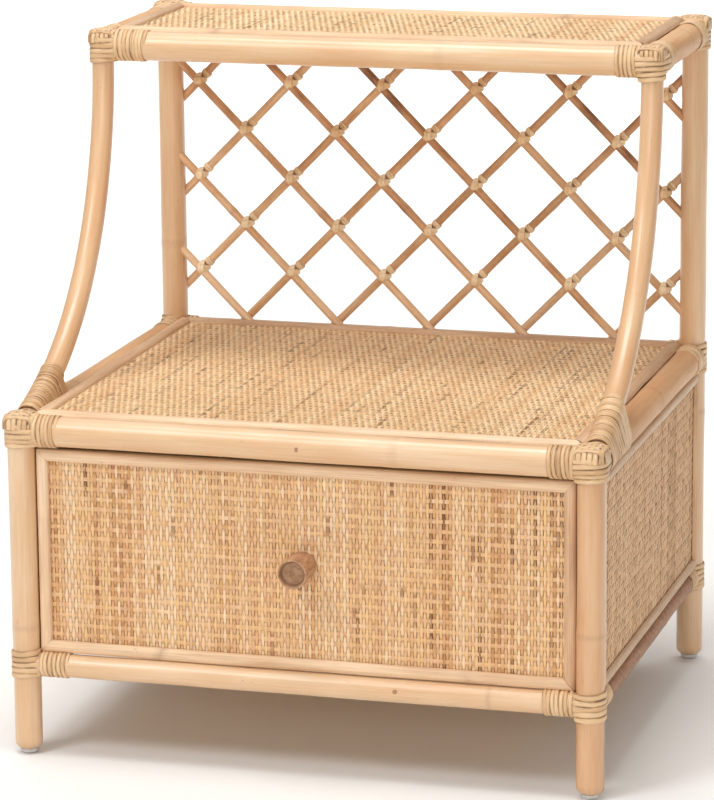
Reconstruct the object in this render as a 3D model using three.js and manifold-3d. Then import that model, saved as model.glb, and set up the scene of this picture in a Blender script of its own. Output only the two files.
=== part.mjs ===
// Rattan nightstand: a one-drawer cabinet with a woven table top, two curved arms that rise to a
// woven shelf, and a diagonal stick lattice across the back between them.
//
// Units are millimetres. +X is right, +Y is towards the back and +Z is up. The origin is on the
// floor, in the middle of the footprint (drawer knob included).
//
// Poles are round rattan. Where two meet, one runs through and the other is coped: its end is
// hollowed to fit round the first, and stops GAP short of it.
import * as THREE from "three";
import { mergeVertices } from "three/addons/utils/BufferGeometryUtils.js";
import Module from "manifold-3d";

const wasm = await Module();
wasm.setup();

// ---- Driving dimensions ----

const POST_SPAN = 500; // left post axis to right post axis
const BASE_DEPTH = 420; // front leg axes to rear post axes
const SHELF_SETBACK = 231; // front leg axes to the shelf's front pole axis
const RAIL_Z = 81; // axis of the four lower rails
const TABLE_Z = 288.5; // axis of the four poles round the table top
const SHELF_Z = 588; // axis of the four poles round the shelf
const ARM_BEND_Z = 573; // where an arm leaves the upright and its arc begins
const ARM_FOOT_SETBACK = 24; // front leg axes to the end of an arm's axis
const ARM_FOOT_RISE = 9; // table pole axes up to the end of an arm's axis
const KNOB_REACH = 30; // knob tip, ahead of the front leg axes
const KNOB_R = 12.9;
const KNOB_DISH = 4.2; // depth of the hollow in the knob's end

const POST_R = 12;
const POLE_R = 13.1;
const RAIL_R = 10.2;
const ARM_R = 9.8;
const STICK_R = 3.8;
const GAP = 0.3; // between pieces that touch

const PANEL_T = 9; // woven cane on its plywood board
const WALL_T = 8; // side and back panels
const PANEL_SINK = 2; // panel's rim below the crown of the poles
const WEAVE_RISE = 1.2; // woven field, which the strips frame, above the panel's rim
const PANEL_INSET = 13; // panel edge to pole axis

const TRIM_W = 10.5; // half-round strips
const TRIM_H = 4;
const TRIM_INSET = 10.5; // strip's outer edge to pole axis

const GLIDE_H = 4;
const GLIDE_R = 8;

const LATTICE_HALF_X = 44.5; // half a diamond, across
const LATTICE_HALF_COUNT = 6; // half diamonds from the bottom row to the top row
const LATTICE_LAYER = 4; // each layer of sticks, ahead of or behind the rear post axes

const ROUND_SIDES = 24;
const ARM_SIDES = 8; // per half turn
const ARM_STEPS = 22;
const ARM_ARC_STEPS = 8;
const STICK_SIDES = 10;
const TRIM_ARC_STEPS = 6;

// ---- Places that follow from them ----

const HALF_SPAN = POST_SPAN / 2;
const FRONT_Y = -(BASE_DEPTH + POLE_R - KNOB_REACH) / 2;
const REAR_Y = FRONT_Y + BASE_DEPTH;
const SHELF_Y = FRONT_Y + SHELF_SETBACK;
const TABLE_RIM = TABLE_Z + POLE_R - PANEL_SINK;
const SHELF_RIM = SHELF_Z + POLE_R - PANEL_SINK;
const COPE_DEPTH = POST_R / 2; // how far a coped pole's ends reach past the post's surface
const BAY_BOTTOM = RAIL_Z + RAIL_R + GAP; // drawer bay, between the rails and the table poles
const BAY_TOP = TABLE_Z - POLE_R - GAP;
const WALL_EDGE = POST_R + GAP; // side and back panels stop this far from the post axes

// ---- Materials ----

const material = (color, roughness, metalness = 0) =>
  new THREE.MeshStandardMaterial({ color, roughness, metalness });

const PEELED_RATTAN = material(0xe0bd92, 0.45);
const LATTICE_RATTAN = material(0xbd8d60, 0.55);
const SPLIT_RATTAN = material(0xe3c7a3, 0.5);
const WOVEN_CANE = material(0xdcb37d, 0.7);
const PLYWOOD = material(0xcaa677, 0.7);
const KNOB_WOOD = material(0xb08a67, 0.6);
const GLIDE_PLASTIC = material(0xcfc9c2, 0.4);

// ---- Solids ----

/** A closed three.js geometry as a manifold-3d solid. */
function solidOf(geometry) {
  const bare = geometry.clone();
  bare.deleteAttribute("normal");
  bare.deleteAttribute("uv");
  const merged = mergeVertices(bare, 1e-4);
  return new wasm.Manifold(
    new wasm.Mesh({
      numProp: 3,
      vertProperties: merged.attributes.position.array,
      triVerts: new Uint32Array(merged.index.array),
    }),
  );
}

/** A manifold-3d solid as a three.js geometry. */
function geometryOf(solid) {
  const mesh = solid.getMesh();
  const geometry = new THREE.BufferGeometry();
  geometry.setAttribute("position", new THREE.BufferAttribute(mesh.vertProperties, 3));
  geometry.setIndex(new THREE.BufferAttribute(mesh.triVerts, 1));
  geometry.computeVertexNormals();
  return geometry;
}

/** A geometry with cutters taken out of it. */
function cut(geometry, cutters) {
  const whole = solidOf(geometry);
  return geometryOf(cutters.reduce((left, cutter) => left.subtract(solidOf(cutter)), whole));
}

/** A round rod from one point to another. */
function rod(from, to, radius, sides = ROUND_SIDES) {
  const run = new THREE.Vector3().subVectors(to, from);
  const geometry = new THREE.CylinderGeometry(radius, radius, run.length(), sides);
  const up = new THREE.Vector3(0, 1, 0);
  const turn = new THREE.Quaternion().setFromUnitVectors(up, run.clone().normalize());
  geometry.applyQuaternion(turn);
  const middle = new THREE.Vector3().addVectors(from, to).multiplyScalar(0.5);
  return geometry.translate(middle.x, middle.y, middle.z);
}

const point = (x, y, z) => new THREE.Vector3(x, y, z);

/** A box given by its lowest and highest corners. */
function box(low, high) {
  const size = new THREE.Vector3().subVectors(high, low);
  const middle = new THREE.Vector3().addVectors(low, high).multiplyScalar(0.5);
  return new THREE.BoxGeometry(size.x, size.y, size.z).translate(middle.x, middle.y, middle.z);
}

/** A solid of revolution about +Z, from [radius, height] pairs that start and end on the axis. */
function turned(profile) {
  const outline = profile.map(([radius, height]) => new THREE.Vector2(radius, height));
  return new THREE.LatheGeometry(outline, ROUND_SIDES).rotateX(Math.PI / 2);
}

function named(name, geometry, look) {
  const mesh = new THREE.Mesh(geometry, look);
  mesh.name = name;
  return mesh;
}

// ---- Cutters: the members that run through, grown by GAP ----

const postCutter = (x, y, radius = POST_R) =>
  rod(point(x, y, 0), point(x, y, SHELF_Z + 2 * POLE_R), radius + GAP);

const acrossCutter = (y, z, radius) =>
  rod(point(-HALF_SPAN, y, z), point(HALF_SPAN, y, z), radius + GAP);

const alongCutter = (x, z, radius) =>
  rod(point(x, FRONT_Y, z), point(x, REAR_Y, z), radius + GAP);

// ---- Posts, legs and feet ----

/** A rounded-off leg from its glide up to topZ. */
function leg(topZ) {
  const foot = GLIDE_H + GAP;
  const roundOff = 3.5;
  return turned([
    [0, foot],
    [POST_R - roundOff, foot],
    [POST_R - roundOff / 3, foot + roundOff / 3],
    [POST_R, foot + roundOff],
    [POST_R, topZ],
    [0, topZ],
  ]);
}

function glide() {
  return turned([
    [0, 0],
    [GLIDE_R - 2, 0],
    [GLIDE_R, 2],
    [GLIDE_R, GLIDE_H],
    [0, GLIDE_H],
  ]);
}

function posts() {
  const group = new THREE.Group();
  for (const [side, sign] of [["left", -1], ["right", 1]]) {
    for (const [end, y, kind, topZ] of [
      ["front", FRONT_Y, "leg", TABLE_Z + POLE_R],
      ["rear", REAR_Y, "post", SHELF_Z + POLE_R],
    ]) {
      const upright = named(`${end}_${side}_${kind}`, leg(topZ), PEELED_RATTAN);
      const foot = named(`${end}_${side}_glide`, glide(), GLIDE_PLASTIC);
      upright.position.set(sign * HALF_SPAN, y, 0);
      foot.position.copy(upright.position);
      group.add(upright, foot);
    }
  }
  return group;
}

// ---- Curved arms ----

/** An arm's axis: straight down from the shelf, then one arc forward to the foot. */
function armAxis(x) {
  const run = SHELF_SETBACK - ARM_FOOT_SETBACK;
  const drop = ARM_BEND_Z - (TABLE_Z + ARM_FOOT_RISE);
  const radius = (run ** 2 + drop ** 2) / (2 * run); // upright at the bend, and through the foot
  const sweep = Math.asin(drop / radius);
  const points = [point(x, SHELF_Y, SHELF_Z + POLE_R)];
  for (let i = 0; i <= ARM_ARC_STEPS; i += 1) {
    const angle = (i / ARM_ARC_STEPS) * sweep;
    const y = SHELF_Y - radius * (1 - Math.cos(angle));
    points.push(point(x, y, ARM_BEND_Z - radius * Math.sin(angle)));
  }
  return new THREE.CatmullRomCurve3(points, false, "centripetal");
}

/** An arm, scarfed at its foot on to the side pole behind the front corner. */
function arm(x) {
  const section = new THREE.Shape().absarc(0, 0, ARM_R, 0, 2 * Math.PI);
  const tube = new THREE.ExtrudeGeometry(section, {
    steps: ARM_STEPS,
    curveSegments: ARM_SIDES,
    extrudePath: armAxis(x),
  });
  return cut(tube, [
    alongCutter(x, TABLE_Z, POLE_R),
    acrossCutter(FRONT_Y, TABLE_Z, POLE_R),
    postCutter(x, FRONT_Y),
  ]);
}

function arms() {
  const group = new THREE.Group();
  group.add(named("left_arm", arm(-HALF_SPAN), PEELED_RATTAN));
  group.add(named("right_arm", arm(HALF_SPAN), PEELED_RATTAN));
  return group;
}

// ---- Rings of four poles round the cabinet, the table top and the shelf ----

/**
 * Front, rear, left and right poles at one height. The front and rear poles are coped to the
 * posts, and the side poles to the posts and to the front and rear poles.
 */
function poleRing(what, z, radius, frontY, frontPostR) {
  const group = new THREE.Group();
  const reach = HALF_SPAN - COPE_DEPTH;
  for (const [end, y, postR] of [
    ["front", frontY, frontPostR],
    ["rear", REAR_Y, POST_R],
  ]) {
    const pole = rod(point(-reach, y, z), point(reach, y, z), radius);
    const coped = cut(pole, [postCutter(-HALF_SPAN, y, postR), postCutter(HALF_SPAN, y, postR)]);
    group.add(named(`${what}_${end}_${kindOf(what)}`, coped, PEELED_RATTAN));
  }
  for (const [side, sign] of [["left", -1], ["right", 1]]) {
    const x = sign * HALF_SPAN;
    const pole = rod(point(x, frontY + COPE_DEPTH, z), point(x, REAR_Y - COPE_DEPTH, z), radius);
    const coped = cut(pole, [
      postCutter(x, frontY, frontPostR),
      postCutter(x, REAR_Y),
      acrossCutter(frontY, z, radius),
      acrossCutter(REAR_Y, z, radius),
    ]);
    group.add(named(`${what}_${side}_${kindOf(what)}`, coped, PEELED_RATTAN));
  }
  return group;
}

const kindOf = (what) => (what === "lower" ? "rail" : "pole");

// ---- Half-round strips, mitred at the corners ----

/**
 * A strip along X, lying on z = 0. Its outer edge is y = 0 and is as long as length; its inner
 * edge is y = TRIM_W. Both ends are mitred at 45 degrees, each drawn back by the clearance.
 */
function mitredStrip(length, clearance) {
  const outline = [new THREE.Vector2(0, 0), new THREE.Vector2(TRIM_W, 0)];
  for (let step = 1; step < TRIM_ARC_STEPS; step += 1) {
    const turn = (Math.PI * step) / TRIM_ARC_STEPS;
    outline.push(new THREE.Vector2((TRIM_W / 2) * (1 + Math.cos(turn)), TRIM_H * Math.sin(turn)));
  }
  const geometry = new THREE.ExtrudeGeometry(new THREE.Shape(outline), {
    depth: length,
    steps: 1,
    bevelEnabled: false,
  });
  const at = geometry.attributes.position;
  for (let i = 0; i < at.count; i += 1) {
    const across = at.getX(i);
    const up = at.getY(i);
    const half = length / 2 - across - clearance;
    const along = at.getZ(i) > length / 2 ? half : -half;
    at.setXYZ(i, along, across, up);
  }
  return geometry;
}

/** The four strips of a rectangular frame in the XY plane: [name, geometry, position, turn]. */
function frameStrips(sizeX, sizeY, clearance) {
  return [
    ["front", mitredStrip(sizeX, clearance), point(0, -sizeY / 2, 0), 0],
    ["right", mitredStrip(sizeY, clearance), point(sizeX / 2, 0, 0), Math.PI / 2],
    ["rear", mitredStrip(sizeX, clearance), point(0, sizeY / 2, 0), Math.PI],
    ["left", mitredStrip(sizeY, clearance), point(-sizeX / 2, 0, 0), -Math.PI / 2],
  ];
}

/** A frame as four separate strips, named by the names given for front, right, rear and left. */
function stripFrame(sizeX, sizeY, names) {
  const group = new THREE.Group();
  for (const [side, geometry, place, turn] of frameStrips(sizeX, sizeY, GAP / 2)) {
    const strip = named(names[side], geometry, SPLIT_RATTAN);
    strip.position.copy(place);
    strip.rotation.z = turn;
    group.add(strip);
  }
  return group;
}

/** A frame as one piece, its strips glued at the mitres. */
function joinedFrame(name, sizeX, sizeY) {
  const overlap = -0.02;
  const solids = frameStrips(sizeX, sizeY, overlap).map(([, geometry, place, turn]) =>
    solidOf(geometry.rotateZ(turn).translate(place.x, place.y, place.z)),
  );
  const ring = solids.reduce((sum, solid) => sum.add(solid));
  return named(name, geometryOf(ring), SPLIT_RATTAN);
}

// ---- Woven table top and shelf ----

/** A board whose woven field stands up inside the strips, which lie on the board's rim. */
function wovenTop(name, frontY, rimZ) {
  const board = box(
    point(PANEL_INSET - HALF_SPAN, frontY + PANEL_INSET, rimZ - PANEL_T),
    point(HALF_SPAN - PANEL_INSET, REAR_Y - PANEL_INSET, rimZ),
  );
  const fieldInset = TRIM_INSET + TRIM_W + GAP;
  const field = box(
    point(fieldInset - HALF_SPAN, frontY + fieldInset, rimZ - WEAVE_RISE),
    point(HALF_SPAN - fieldInset, REAR_Y - fieldInset, rimZ + WEAVE_RISE),
  );
  return named(name, geometryOf(solidOf(board).add(solidOf(field))), WOVEN_CANE);
}

function tableTop() {
  const group = new THREE.Group();
  const strips = stripFrame(POST_SPAN - 2 * TRIM_INSET, BASE_DEPTH - 2 * TRIM_INSET, {
    front: "table_front_strip",
    right: "table_right_strip",
    rear: "table_rear_strip",
    left: "table_left_strip",
  });
  strips.position.set(0, (FRONT_Y + REAR_Y) / 2, TABLE_RIM + GAP);
  group.add(wovenTop("table_panel", FRONT_Y, TABLE_RIM), strips);
  return group;
}

function shelfTop() {
  const group = new THREE.Group();
  const depth = BASE_DEPTH - SHELF_SETBACK;
  const strips = joinedFrame("shelf_strip_frame", POST_SPAN - 2 * TRIM_INSET, depth - 2 * TRIM_INSET);
  strips.position.set(0, (SHELF_Y + REAR_Y) / 2, SHELF_RIM + GAP);
  group.add(wovenTop("shelf_panel", SHELF_Y, SHELF_RIM), strips);
  return group;
}

// ---- Walls of the drawer bay ----

const WALL_FACE = HALF_SPAN + 6; // outer face of a side panel

function walls() {
  const group = new THREE.Group();
  for (const [side, sign] of [["left", -1], ["right", 1]]) {
    const inner = sign * (WALL_FACE - WALL_T);
    const outer = sign * WALL_FACE;
    const low = point(Math.min(inner, outer), FRONT_Y + WALL_EDGE, BAY_BOTTOM);
    const high = point(Math.max(inner, outer), REAR_Y - WALL_EDGE, BAY_TOP);
    group.add(named(`${side}_side_panel`, box(low, high), WOVEN_CANE));
  }
  const back = box(
    point(WALL_EDGE - HALF_SPAN, REAR_Y - WALL_T / 2, BAY_BOTTOM),
    point(HALF_SPAN - WALL_EDGE, REAR_Y + WALL_T / 2, BAY_TOP),
  );
  group.add(named("back_panel", back, WOVEN_CANE));
  return group;
}

// ---- Lattice ----

const LATTICE_BOTTOM = TABLE_Z + POLE_R + 2.9; // where sticks of the two layers cross lowest
const LATTICE_TOP = SHELF_Z - POLE_R - 0.9; // and highest
const LATTICE_STICKS = 8; // in each layer

/**
 * Stick number n of a layer. Front-layer sticks fall to the right (lean -1) and back-layer ones
 * to the left (lean 1). A stick that would pass a post is stopped at it.
 */
function latticeStick(n, lean) {
  const y = REAR_Y + lean * LATTICE_LAYER;
  const run = LATTICE_HALF_COUNT * LATTICE_HALF_X;
  const slope = (LATTICE_TOP - LATTICE_BOTTOM) / run;
  const past = 14; // overlength at head and foot, which the cutters take off
  const limit = HALF_SPAN - POST_R / 2;
  const footX = lean * (4 * LATTICE_HALF_X - n * 2 * LATTICE_HALF_X);
  const headX = footX + lean * run;
  const zAt = (x) => LATTICE_BOTTOM + (x - footX) * lean * slope;
  const startX = THREE.MathUtils.clamp(footX - lean * past, -limit, limit);
  const endX = THREE.MathUtils.clamp(headX + lean * past, -limit, limit);
  const stick = rod(point(startX, y, zAt(startX)), point(endX, y, zAt(endX)), STICK_R, STICK_SIDES);
  return cut(stick, [
    postCutter(-HALF_SPAN, REAR_Y),
    postCutter(HALF_SPAN, REAR_Y),
    acrossCutter(REAR_Y, TABLE_Z, POLE_R),
    acrossCutter(REAR_Y, SHELF_Z, POLE_R),
  ]);
}

function lattice() {
  const group = new THREE.Group();
  for (const [layer, lean] of [["front", -1], ["back", 1]]) {
    for (let n = 0; n < LATTICE_STICKS; n += 1) {
      const name = `lattice_${layer}_stick_${n + 1}`;
      group.add(named(name, latticeStick(n, lean), LATTICE_RATTAN));
    }
  }
  return group;
}

// ---- Drawer ----

const DRAWER = {
  halfWidth: 237, // front board, 1 mm inside the posts
  bottom: 92.3,
  top: 272.4,
  face: 2, // front board's face, behind the front leg axes
  frontT: 12,
  boxHalfWidth: 232, // outside of the box behind the front
  boxT: 10,
  boxBottom: 99.2,
  boxTop: 245,
  boxBack: 384, // back of the box, behind the front leg axes
  floorZ: 104,
  floorT: 5,
  knobZ: 184.7,
};

/** Boards of the drawer box behind its front, in the drawer's own frame (y = 0 on the leg axes). */
function drawerBox() {
  const group = new THREE.Group();
  const start = DRAWER.face + DRAWER.frontT + GAP;
  const innerHalf = DRAWER.boxHalfWidth - DRAWER.boxT;
  for (const [side, sign] of [["left", -1], ["right", 1]]) {
    const edges = [sign * innerHalf, sign * DRAWER.boxHalfWidth];
    const low = point(Math.min(...edges), start, DRAWER.boxBottom);
    const high = point(Math.max(...edges), DRAWER.boxBack, DRAWER.boxTop);
    group.add(named(`drawer_${side}_side`, box(low, high), PLYWOOD));
  }
  const backFace = DRAWER.boxBack - DRAWER.boxT;
  const back = box(
    point(GAP - innerHalf, backFace, DRAWER.floorZ),
    point(innerHalf - GAP, DRAWER.boxBack, DRAWER.boxTop),
  );
  const floor = box(
    point(GAP - innerHalf, start, DRAWER.floorZ),
    point(innerHalf - GAP, backFace - GAP, DRAWER.floorZ + DRAWER.floorT),
  );
  group.add(named("drawer_back", back, PLYWOOD), named("drawer_bottom", floor, PLYWOOD));
  return group;
}

/** A turned knob that stands out along -Y, its base on y = 0, with a shallow dish in its end. */
function knob(length) {
  const profile = [
    [0, 0],
    [12, 0],
    [12.4, 4],
    [KNOB_R, length - 6],
    [KNOB_R, length - 1.5],
    [KNOB_R - 0.5, length - 0.3],
    [KNOB_R - 1, length],
    [KNOB_R - 1.7, length - 0.3],
    [KNOB_R - 3, length - 2.4],
    [KNOB_R - 4.6, length - KNOB_DISH],
    [0, length - KNOB_DISH - 0.4],
  ];
  return turned(profile).rotateX(Math.PI / 2);
}

function drawer() {
  const group = new THREE.Group();
  const height = DRAWER.top - DRAWER.bottom;
  const front = box(
    point(-DRAWER.halfWidth, DRAWER.face, DRAWER.bottom),
    point(DRAWER.halfWidth, DRAWER.face + DRAWER.frontT, DRAWER.top),
  );
  const strips = stripFrame(2 * DRAWER.halfWidth, height, {
    front: "drawer_bottom_strip",
    right: "drawer_right_strip",
    rear: "drawer_top_strip",
    left: "drawer_left_strip",
  });
  strips.rotation.x = Math.PI / 2;
  strips.position.set(0, DRAWER.face - GAP, (DRAWER.bottom + DRAWER.top) / 2);
  const handle = named("drawer_knob", knob(KNOB_REACH + DRAWER.face - GAP), KNOB_WOOD);
  handle.position.set(0, DRAWER.face - GAP, DRAWER.knobZ);
  group.add(named("drawer_front", front, WOVEN_CANE), strips, drawerBox(), handle);
  group.position.y = FRONT_Y;
  return group;
}

// ---- Drawer runners ----

/** L-shaped runners between the posts: a ledge under each drawer side and a guide beside it. */
function runners() {
  const group = new THREE.Group();
  const start = FRONT_Y + DRAWER.face + DRAWER.frontT + 1;
  const end = REAR_Y - WALL_EDGE;
  const ledgeTop = DRAWER.boxBottom - 0.4;
  const guideTop = ledgeTop + 20;
  const ledgeInner = DRAWER.boxHalfWidth - 6;
  const guideInner = DRAWER.boxHalfWidth + 1;
  const outer = WALL_FACE - WALL_T - 1;
  const outline = [
    [ledgeInner, BAY_BOTTOM],
    [outer, BAY_BOTTOM],
    [outer, guideTop],
    [guideInner, guideTop],
    [guideInner, ledgeTop],
    [ledgeInner, ledgeTop],
  ];
  for (const [side, sign] of [["left", -1], ["right", 1]]) {
    const points = outline.map(([x, z]) => new THREE.Vector2(sign * x, z));
    const geometry = new THREE.ExtrudeGeometry(new THREE.Shape(points), {
      depth: end - start,
      bevelEnabled: false,
    });
    const runner = named(`${side}_runner`, geometry, PLYWOOD);
    runner.rotation.x = Math.PI / 2;
    runner.position.y = end;
    group.add(runner);
  }
  return group;
}

// ---- Assembly ----

const nightstand = new THREE.Group();
nightstand.add(
  posts(),
  arms(),
  poleRing("lower", RAIL_Z, RAIL_R, FRONT_Y, POST_R),
  poleRing("table", TABLE_Z, POLE_R, FRONT_Y, POST_R),
  poleRing("shelf", SHELF_Z, POLE_R, SHELF_Y, ARM_R),
  tableTop(),
  shelfTop(),
  walls(),
  lattice(),
  runners(),
  drawer(),
);

export default nightstand;
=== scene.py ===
"""Visual model of the rattan nightstand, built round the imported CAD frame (metres, +Z up)."""

import math
import zlib

import bpy
import numpy as np
from mathutils import Matrix, Vector


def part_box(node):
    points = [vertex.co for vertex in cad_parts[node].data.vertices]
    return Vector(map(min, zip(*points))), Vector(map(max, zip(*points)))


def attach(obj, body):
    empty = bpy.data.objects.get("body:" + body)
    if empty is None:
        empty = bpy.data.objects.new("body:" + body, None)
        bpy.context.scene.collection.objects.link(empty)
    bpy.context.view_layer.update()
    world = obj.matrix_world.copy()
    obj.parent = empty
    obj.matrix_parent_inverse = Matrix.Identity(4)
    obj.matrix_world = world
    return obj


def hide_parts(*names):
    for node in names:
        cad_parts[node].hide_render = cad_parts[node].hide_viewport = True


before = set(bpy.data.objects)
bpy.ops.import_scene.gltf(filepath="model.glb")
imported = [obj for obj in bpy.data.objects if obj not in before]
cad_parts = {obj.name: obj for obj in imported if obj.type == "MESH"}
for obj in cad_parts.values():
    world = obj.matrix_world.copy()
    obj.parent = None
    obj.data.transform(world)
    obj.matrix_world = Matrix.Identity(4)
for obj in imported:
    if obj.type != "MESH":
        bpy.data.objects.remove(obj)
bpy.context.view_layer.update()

MM = 0.001
TAU = 2 * math.pi
X, Y, Z = np.eye(3)

CABINET = "cabinet"
DRAWER = "drawer"


# ---------------------------------------------------------------- places


def low(node):
    return np.array(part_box(node)[0])


def high(node):
    return np.array(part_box(node)[1])


def middle(node):
    return (low(node) + high(node)) / 2


def extent(node):
    return high(node) - low(node)


POST_R = extent("front_left_leg")[0] / 2
POLE_R = extent("table_front_pole")[2] / 2
RAIL_R = extent("lower_front_rail")[2] / 2
ARM_R = extent("left_arm")[0] / 2
STICK_R = extent("lattice_front_stick_1")[1] / 2
TRIM_W, _, TRIM_H = extent("table_left_strip")
POST_X = middle("front_right_leg")[0]
FRONT_Y = middle("front_left_leg")[1]
REAR_Y = middle("rear_left_post")[1]
SHELF_Y = middle("shelf_front_pole")[1]
RAIL_Z = middle("lower_front_rail")[2]
TABLE_Z = middle("table_front_pole")[2]
SHELF_Z = middle("shelf_front_pole")[2]


def rng_for(name):
    return np.random.default_rng(zlib.crc32(name.encode()))


def unit(v):
    v = np.asarray(v, float)
    return v / np.maximum(np.linalg.norm(v, axis=-1, keepdims=True), 1e-12)


def lengths(path):
    """How far along a path each of its points is."""
    return np.concatenate([[0], np.cumsum(np.linalg.norm(np.diff(path, axis=0), axis=1))])


def resample(at, length, points):
    """A path's points, or directions along it, at other lengths."""
    return np.stack([np.interp(at, length, column) for column in np.transpose(points)], axis=1)


def circle(r, count):
    turn = np.arange(count) / count * TAU
    return r * np.stack([np.cos(turn), np.sin(turn)], axis=1)


def tube_faces(n, m, closed=False):
    """Quads between n rings of m points, and end faces unless the last ring joins the first."""
    i = np.arange(n if closed else n - 1)[:, None]
    j = np.arange(m)[None, :]
    here, there = i * m, (i + 1) % n * m
    after = (j + 1) % m
    quads = np.stack([here + j, here + after, there + after, there + j], axis=-1)
    ends = [] if closed else [np.arange(m)[None, ::-1], ((n - 1) * m + np.arange(m))[None]]
    return [quads.reshape(-1, 4)] + ends


# ---------------------------------------------------------------- mesh builder


class Shape:
    """Points and faces of one piece, with the attributes that its material reads.

    grain is a place along and across the fibres, in metres; tone is a strand's shade, from 0 to
    1, with painted light and shade added in places; mark is a stain, node ring or end, and on two
    pieces painted shade, from 0 to 1; edge is 1 for the most painted shade, with some grime,
    along a strand's edges, where it dives under another and in the knob's dish.
    """

    def __init__(self):
        self.points = []
        self.faces = []
        self.grain = []
        self.tone = []
        self.mark = []
        self.edge = []
        self.count = 0

    def add(self, points, faces, grain, tone=0.5, mark=0.0, edge=0.0):
        n = len(points)
        self.points.append(points)
        self.grain.append(grain)
        for values, value in ((self.tone, tone), (self.mark, mark), (self.edge, edge)):
            values.append(np.broadcast_to(value, (n,)))
        self.faces += [f + self.count for f in faces]
        self.count += n

    def sweep(self, path, side, normal, section, scale=None, closed=False, **looks):
        """Carry a section along a path. Section points are (along side, along normal).

        edge is one value, one for each section point, or one for each point of the sweep.
        """
        path = np.asarray(path, float)
        n = len(path)
        side = np.broadcast_to(unit(side), (n, 3))
        normal = np.broadcast_to(unit(normal), (n, 3))
        section = np.asarray(section, float)
        m = len(section)
        edge = np.broadcast_to(np.asarray(looks.get("edge", 0.0), float), (n, m))
        ahead = path[min(1, n - 1)] - path[0]
        if np.dot(np.cross(side[0], normal[0]), ahead) < 0:
            section = section[::-1]
            edge = edge[:, ::-1]
        looks["edge"] = edge.reshape(-1)
        scale = np.ones((n, 1, 1)) if scale is None else np.asarray(scale).reshape(n, -1, 1)
        offset = section[None, :, 0:1] * side[:, None] + section[None, :, 1:2] * normal[:, None]
        rings = path[:, None] + offset * scale
        along = (lengths(path) + looks.pop("shift", 0.0))[:, None, None]
        across = np.broadcast_to(section[None], (n, m, 2))
        grain = np.concatenate([np.broadcast_to(along, (n, m, 1)), across], axis=2)
        for key in ("tone", "mark"):
            value = looks.get(key)
            if value is not None and np.ndim(value) == 1:
                looks[key] = np.repeat(np.asarray(value, float), m)
        self.add(rings.reshape(-1, 3), tube_faces(n, m, closed), grain.reshape(-1, 3), **looks)

    def build(self, name, material, body, replaces=(), sharp=None):
        mesh = bpy.data.meshes.new(name)
        points = np.concatenate(self.points)
        sizes = np.concatenate([np.full(len(f), f.shape[1]) for f in self.faces])
        corners = np.concatenate([f.reshape(-1) for f in self.faces])
        mesh.vertices.add(len(points))
        mesh.vertices.foreach_set("co", points.astype(np.float32).reshape(-1))
        mesh.loops.add(len(corners))
        mesh.loops.foreach_set("vertex_index", corners.astype(np.int32))
        mesh.polygons.add(len(sizes))
        starts = np.concatenate([[0], np.cumsum(sizes)[:-1]]).astype(np.int32)
        mesh.polygons.foreach_set("loop_start", starts)
        mesh.polygons.foreach_set("use_smooth", np.ones(len(sizes), bool))
        mesh.update(calc_edges=True)
        mesh.validate()
        for key, kind, field in (
            ("grain", "FLOAT_VECTOR", "vector"),
            ("tone", "FLOAT", "value"),
            ("mark", "FLOAT", "value"),
            ("edge", "FLOAT", "value"),
        ):
            values = np.concatenate(getattr(self, key)).astype(np.float32).reshape(-1)
            mesh.attributes.new(key, kind, "POINT").data.foreach_set(field, values)
        if sharp is not None:
            mesh.set_sharp_from_angle(angle=math.radians(sharp))
        mesh.materials.append(material)
        obj = bpy.data.objects.new(name, mesh)
        bpy.context.scene.collection.objects.link(obj)
        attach(obj, body)
        if replaces:
            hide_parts(*replaces)


def transported(path):
    """Side and normal directions, carried along the path without twisting."""
    tangent = unit(np.gradient(path, axis=0))
    helper = X if abs(tangent[0][0]) < 0.8 else Y
    side = [unit(np.cross(tangent[0], helper))]
    for t in tangent[1:]:
        side.append(unit(side[-1] - np.dot(side[-1], t) * t))
    side = np.array(side)
    return side, np.cross(tangent, side)


def smooth_noise(rng, n, step):
    """n values of about -1..1 that change over about step samples."""
    knots = rng.uniform(-1, 1, n // max(1, step) + 4)
    at = np.arange(n) / max(1, step)
    i = at.astype(int)
    f = at - i
    f = f * f * (3 - 2 * f)
    return knots[i] * (1 - f) + knots[i + 1] * f


# ---------------------------------------------------------------- materials


def linear(r, g, b):
    def one(c):
        c /= 255
        return c / 12.92 if c <= 0.04045 else ((c + 0.055) / 1.055) ** 2.4

    return (one(r), one(g), one(b), 1)


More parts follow.
